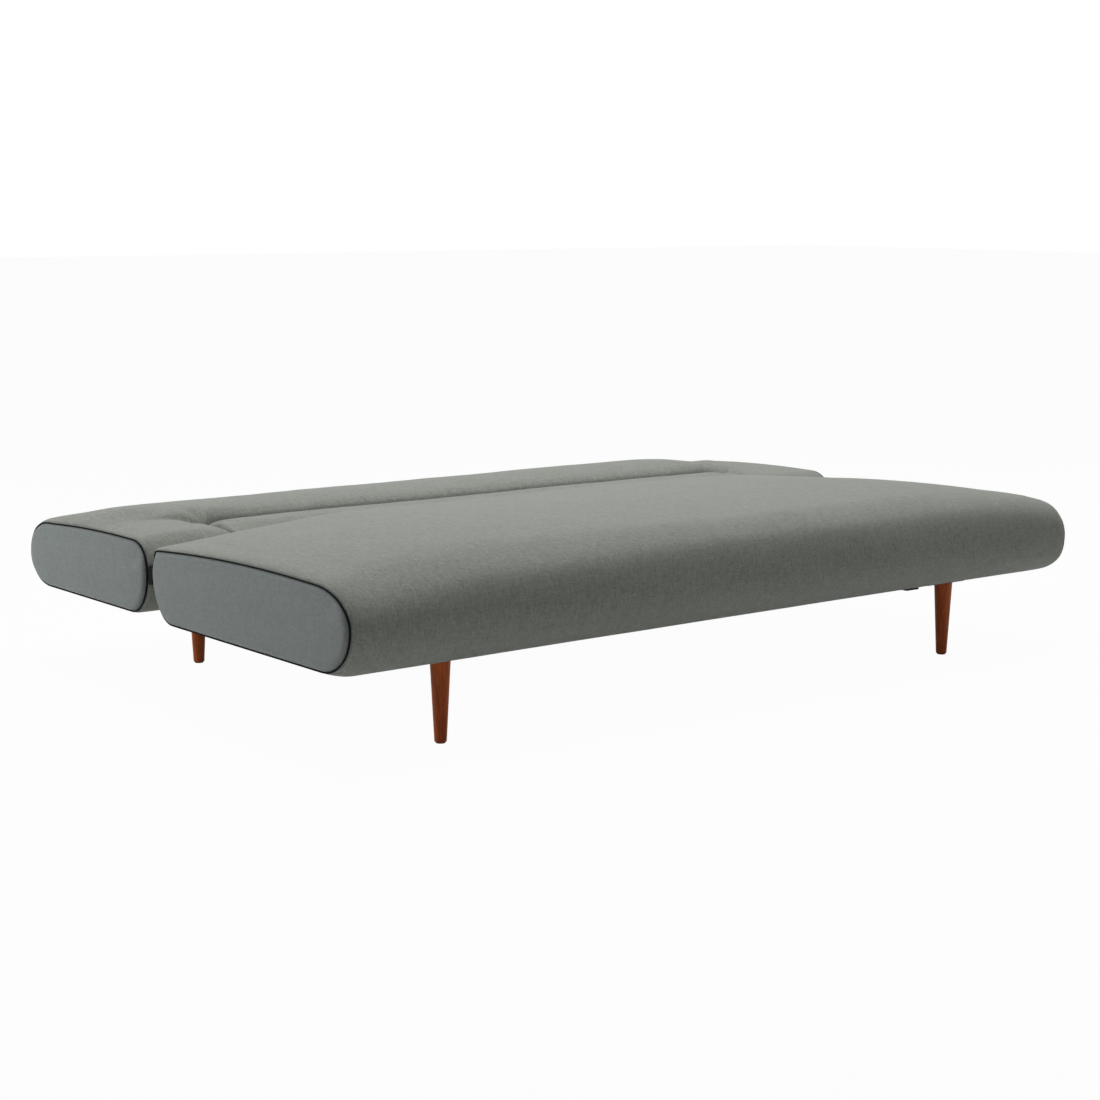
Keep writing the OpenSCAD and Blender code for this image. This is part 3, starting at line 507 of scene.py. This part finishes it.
class Value:
    def __init__(self, tree, socket):
        self.tree, self.socket = tree, socket

    def node(self, kind, settings=None, inputs=None, out=0):
        made = self.tree.nodes.new(kind)
        for key, value in (settings or {}).items():
            setattr(made, key, value)
        for key, value in (inputs or {}).items():
            if isinstance(value, Value):
                self.tree.links.new(value.socket, made.inputs[key])
            elif made.inputs[key].type == "RGBA":
                made.inputs[key].default_value = (*value, 1)
            else:
                made.inputs[key].default_value = value
        return Value(self.tree, made.outputs[out]) if len(made.outputs) else None

    def maths(self, operation, *others):
        return self.node("ShaderNodeMath", {"operation": operation}, dict(enumerate((self, *others))))

    def split(self):
        parts = self.node("ShaderNodeSeparateXYZ", inputs={0: self})
        return [parts.other(i) for i in range(3)]

    def other(self, output):
        # another output of the same node
        return Value(self.tree, self.socket.node.outputs[output])

    def __add__(self, other):
        return self.maths("ADD", other)

    def __mul__(self, other):
        return self.maths("MULTIPLY", other)

    def __sub__(self, other):
        return self.maths("SUBTRACT", other)

    def __rsub__(self, other):
        return (self * -1.0) + other

    __radd__ = __add__
    __rmul__ = __mul__


def newMaterial(name):
    material = bpy.data.materials.new(name)
    material.use_nodes = True
    material.node_tree.nodes.clear()
    start = Value(material.node_tree, None)
    shader = start.node("ShaderNodeBsdfPrincipled")
    start.node("ShaderNodeOutputMaterial", inputs={0: shader})
    return material, shader.socket.node, start


def linear(*srgb):
    return tuple(((c / 255 + 0.055) / 1.055) ** 2.4 if c > 10 else c / 255 / 12.92 for c in srgb)


def connect(value, socket):
    value.tree.links.new(value.socket, socket)


def mixed(start, factor, first, second):
    return start.node("ShaderNodeMix", {"data_type": "RGBA"}, {0: factor, 6: first, 7: second}, out=2)


weave = {
    "thread": 0.0011, "slubLong": 0.020, "slubWide": 0.0022, "nubLong": 0.009, "nubWide": 0.0040,
    "fleck": 0.0028, "warp": 0.62, "weft": 0.46, "nubs": 0.22, "flecks": 0.60, "clouds": 0.08,
    "bump": 0.0003, "roughness": 0.55, "creaseShade": 0.45, "creaseShadeTone": 0.12,
}


def fabric(name, light, dark, coordinate, contrast=1.0, roughness=0.92, sheen=0.25):
    # plain linen weave: two sets of threads, with thicker slubs and nubs that run along each set
    material, shader, start = newMaterial(name)
    if coordinate == "UV":
        spot = start.node("ShaderNodeUVMap", {"uv_map": "UVMap"})
        along, across = spot.split()[:2]
    else:
        spot = start.node("ShaderNodeTexCoord", out=3)
        along, across = spot.split()[1:]

    def streaks(long, wide, detail, shift):
        place = {0: along * (1 / long), 1: across * (1 / wide), 2: shift}
        place = start.node("ShaderNodeCombineXYZ", inputs=place)
        noisy = {"Vector": place, "Scale": 1.0, "Detail": detail, "Roughness": weave["roughness"]}
        return start.node("ShaderNodeTexNoise", inputs=noisy) - 0.5

    pitch = 2 * math.pi / weave["thread"]
    threads = (along * pitch).maths("SINE") * (across * pitch).maths("SINE")
    warp = streaks(weave["slubWide"], weave["slubLong"], 2.0, 0.4)
    weft = streaks(weave["slubLong"], weave["slubWide"], 2.0, 1.7)
    nubs = streaks(weave["nubWide"], weave["nubLong"], 1.0, 2.9)
    nubs = nubs + streaks(weave["nubLong"], weave["nubWide"], 1.0, 4.3)
    clouds = streaks(0.15, 0.12, 2.0, 5.1)
    flecks = streaks(weave["fleck"], weave["fleck"], 1.0, 6.6)
    slubs = warp * weave["warp"] + weft * weave["weft"] + nubs * weave["nubs"]
    tone = (slubs + flecks * weave["flecks"] + clouds * weave["clouds"] + threads * 0.05) * contrast + 0.5
    colour = mixed(start, tone.maths("MINIMUM", 1.0).maths("MAXIMUM", 0.0), dark, light)
    if coordinate == "UV":    # painted shade: the linen is darkened along the crease, where the fold's shadow falls
        crease = start.node("ShaderNodeAttribute", {"attribute_name": "crease"}, out=2)
        creaseShadeColour = tuple(c * weave["creaseShadeTone"] for c in dark)
        colour = mixed(start, crease * weave["creaseShade"], colour, creaseShadeColour)
    connect(colour, shader.inputs["Base Color"])
    shader.inputs["Roughness"].default_value = roughness
    shader.inputs["Specular IOR Level"].default_value = sheen
    shader.inputs["Sheen Weight"].default_value = sheen
    shader.inputs["Sheen Roughness"].default_value = 0.5
    height = threads * 0.2 + slubs
    bump = start.node("ShaderNodeBump", inputs={"Strength": 0.5, "Distance": weave["bump"], "Height": height})
    connect(bump, shader.inputs["Normal"])
    return material


def wood(name, light, dark, roughness, coat, grain):
    material, shader, start = newMaterial(name)
    place = start.node("ShaderNodeTexCoord", out=3)
    stretched = start.node("ShaderNodeMapping", inputs={"Vector": place, "Scale": grain})
    fine = {"Vector": stretched, "Scale": 1.0, "Detail": 8.0, "Roughness": 0.65}
    fine = start.node("ShaderNodeTexNoise", inputs=fine)
    broad = {"Vector": stretched, "Scale": 0.22, "Detail": 3.0, "Distortion": 1.2}
    broad = start.node("ShaderNodeTexNoise", inputs=broad)
    figure = (fine - 0.5) * 1.4 + (broad - 0.5) * 1.2 + 0.5
    colour = mixed(start, figure.maths("MINIMUM", 1.0).maths("MAXIMUM", 0.0), dark, light)
    connect(colour, shader.inputs["Base Color"])
    connect(figure * 0.12 + roughness, shader.inputs["Roughness"])
    shader.inputs["Specular IOR Level"].default_value = 0.15
    shader.inputs["Coat Weight"].default_value = coat
    shader.inputs["Coat Roughness"].default_value = 0.25
    bump = start.node("ShaderNodeBump", inputs={"Strength": 0.15, "Distance": 0.0003, "Height": fine})
    connect(bump, shader.inputs["Normal"])
    return material


def plain(name, colour, roughness, metallic, grainScale, grainDepth, coat=0.0, specular=0.5):
    # paint, zinc, plastic and rubber: a tone that wanders a little over a fine texture
    material, shader, start = newMaterial(name)
    place = start.node("ShaderNodeTexCoord", out=3)
    grain = start.node("ShaderNodeTexNoise", inputs={"Vector": place, "Scale": grainScale, "Detail": 4.0})
    smudge = start.node("ShaderNodeTexNoise", inputs={"Vector": place, "Scale": 14.0, "Detail": 3.0})
    darker = tuple(c * 0.78 for c in colour)
    connect(mixed(start, smudge, darker, colour), shader.inputs["Base Color"])
    connect(smudge * 0.16 + (roughness - 0.08), shader.inputs["Roughness"])
    shader.inputs["Metallic"].default_value = metallic
    shader.inputs["Coat Weight"].default_value = coat
    shader.inputs["Specular IOR Level"].default_value = specular
    bump = start.node("ShaderNodeBump", inputs={"Strength": 0.25, "Distance": grainDepth, "Height": grain})
    connect(bump, shader.inputs["Normal"])
    return material


topFabric = fabric("greyGreenLinen", linear(183, 187, 178), linear(123, 128, 119), "UV", contrast=1.35)
# painted shade: the end panels get a slightly darker, cooler copy of the top linen, standing in for the
# shaded tint of the ends
shadedEndFabric = fabric("greyGreenLinenShadedEnds", linear(166, 174, 172), linear(122, 130, 129), "Object")
pipingFabric = fabric("charcoalPiping", linear(26, 28, 28), linear(12, 13, 13), "Object", sheen=0.05)
dustCloth = plain("blackFelt", linear(34, 34, 36), 0.95, 0.0, 900.0, 0.0004)
legGrain, slatGrain = (420.0, 420.0, 26.0), (300.0, 16.0, 300.0)
legWood = wood("stainedLegWood", linear(228, 118, 58), linear(146, 66, 30), 0.45, 0.05, legGrain)
slatWood = wood("birchSlats", linear(222, 200, 160), linear(190, 160, 116), 0.5, 0.1, slatGrain)
blackPaint = plain("blackPowderCoat", linear(38, 38, 40), 0.5, 0.0, 1400.0, 0.0002, coat=0.1)
blackPlastic = plain("blackPlastic", linear(13, 13, 14), 0.75, 0.0, 700.0, 0.0001, specular=0.08)
blackRubber = plain("blackRubber", linear(14, 14, 15), 0.9, 0.0, 500.0, 0.0002, specular=0.05)
zincSteel = plain("zincSteel", linear(176, 178, 180), 0.35, 1.0, 1200.0, 0.0001)

slotMaterials = {
    "black_painted_steel": blackPaint, "leg_wood": legWood, "slat_wood": slatWood,
    "black_rubber": blackRubber, "black_plastic": blackPlastic,
    "zinc_steel": zincSteel, "dust_cover_cloth": dustCloth,
    "cushion_fabric": topFabric, "end_panel_fabric": shadedEndFabric, "piping_fabric": pipingFabric,
}


def dress(piece, material):
    piece.data.materials.clear()
    piece.data.materials.append(material)


for subpart in frame["record"]["subparts"]:
    dress(nodes[subpart["node"]], slotMaterials[subpart["material_slot"]])
dress(seatCushion, topFabric)
dress(backCushion, topFabric)
for piece in panels.values():
    dress(piece, shadedEndFabric)
for piece in pipings.values():
    dress(piece, pipingFabric)
print("materials made")


# Each piece hides the CAD parts it replaces; the base's pieces are parented to the base body, the back's have
# their transforms applied


def place(piece, body, slot, *replaced):
    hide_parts(*replaced)
    if body == "back":
        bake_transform(piece)
    else:
        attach(piece, body)


place(seatCushion, "base", "cushion_fabric", "seat_cushion", "seat_fold_roll")
place(backCushion, "back", "cushion_fabric", "back_cushion", "back_fold_roll")
for found, slot in ((panels, "end_panel_fabric"), (pipings, "piping_fabric")):
    for node, piece in found.items():
        place(piece, "base" if node.startswith("seat") else "back", slot, node)


# Floor, light and camera

studio = {
    "camera": (-3.1761, -4.0618, 1.0584), "yaw": 0.66099, "pitch": 0.15692, "roll": 0.00284, "lens": 74.019,
    "world": 0.06, "floor": 0.97,
}
lamps = {
    "overheadSoftbox": {"at": (0, 0, 3.2), "size": (3.0, 2.0), "power": 60.0},
    "rightSoftbox": {"at": (3.6, 0.4, 2.2), "size": (2.0, 2.0), "power": 26.0},
    "leftSoftbox": {"at": (-4.0, 0.5, 1.2), "size": (1.5, 1.5), "power": 5.0},
    "rearLeftSoftbox": {"at": (-3.6, 3.2, 1.4), "size": (1.5, 1.5), "power": 66.0},
    "frontRightSoftbox": {"at": (4.0, -4.0, 1.4), "size": (2.0, 1.5), "power": 11.0},
}


def seenRays(start):
    # rays whose background shows: straight from the camera, or by way of metal or glass
    camera = start.node("ShaderNodeLightPath", out="Is Camera Ray")
    glossy, through = camera.other("Is Glossy Ray"), camera.other("Is Transmission Ray")
    return camera.maths("MAXIMUM", glossy.maths("MAXIMUM", through))


def makeFloor():
    nothingSelected()
    bpy.ops.mesh.primitive_plane_add(size=60, location=(0, 0, 0))
    floor = bpy.context.object
    floor.name = "studioFloor"
    material, shader, start = newMaterial("paleFloor")
    shader.inputs["Base Color"].default_value = (0.82, 0.82, 0.82, 1)
    shader.inputs["Roughness"].default_value = 1.0
    shader.inputs["Specular IOR Level"].default_value = 0.0
    glow = start.node("ShaderNodeEmission")
    matte = Value(material.node_tree, shader.outputs[0])
    mix = start.node("ShaderNodeMixShader", inputs={0: seenRays(start) * studio["floor"], 1: matte, 2: glow})
    connect(mix, material.node_tree.nodes["Material Output"].inputs[0])
    dress(floor, material)


def makeWorld():
    world = bpy.data.worlds.new("studioWorld")
    bpy.context.scene.world = world
    world.use_nodes = True
    world.node_tree.nodes.clear()
    start = Value(world.node_tree, None)
    white = (1, 1, 1)
    ambient = start.node("ShaderNodeBackground", inputs={0: white, 1: studio["world"]})
    seen = start.node("ShaderNodeBackground", inputs={0: white})
    mix = start.node("ShaderNodeMixShader", inputs={0: seenRays(start), 1: ambient, 2: seen})
    start.node("ShaderNodeOutputWorld", inputs={0: mix})


def makeLight(name, location, aim, size, energy):
    nothingSelected()
    bpy.ops.object.light_add(type="AREA", location=location)
    lamp = bpy.context.object
    lamp.name = name
    lamp.data.shape = "RECTANGLE"
    lamp.data.size, lamp.data.size_y = size
    lamp.data.energy = energy
    lamp.rotation_euler = (Vector(aim) - Vector(location)).to_track_quat("-Z", "Y").to_euler()
    return lamp


def makeCamera():
    data = bpy.data.cameras.new("studioCamera")
    camera = bpy.data.objects.new("studioCamera", data)
    bpy.context.scene.collection.objects.link(camera)
    yaw, pitch = studio["yaw"], studio["pitch"]
    ahead = Vector((math.sin(yaw) * math.cos(pitch), math.cos(yaw) * math.cos(pitch), -math.sin(pitch)))
    camera.location = studio["camera"]
    level = ahead.to_track_quat("-Z", "Y").to_matrix()
    camera.rotation_euler = (Matrix.Rotation(-studio["roll"], 3, ahead) @ level).to_euler()
    data.lens, data.sensor_width = studio["lens"], 36
    bpy.context.scene.camera = camera


makeFloor()
makeWorld()
for name, lamp in lamps.items():
    makeLight(name, lamp["at"], (0, 0, 0.3), lamp["size"], lamp["power"])
makeCamera()
bpy.context.scene.view_settings.view_transform = "Standard"

print("scene finished")
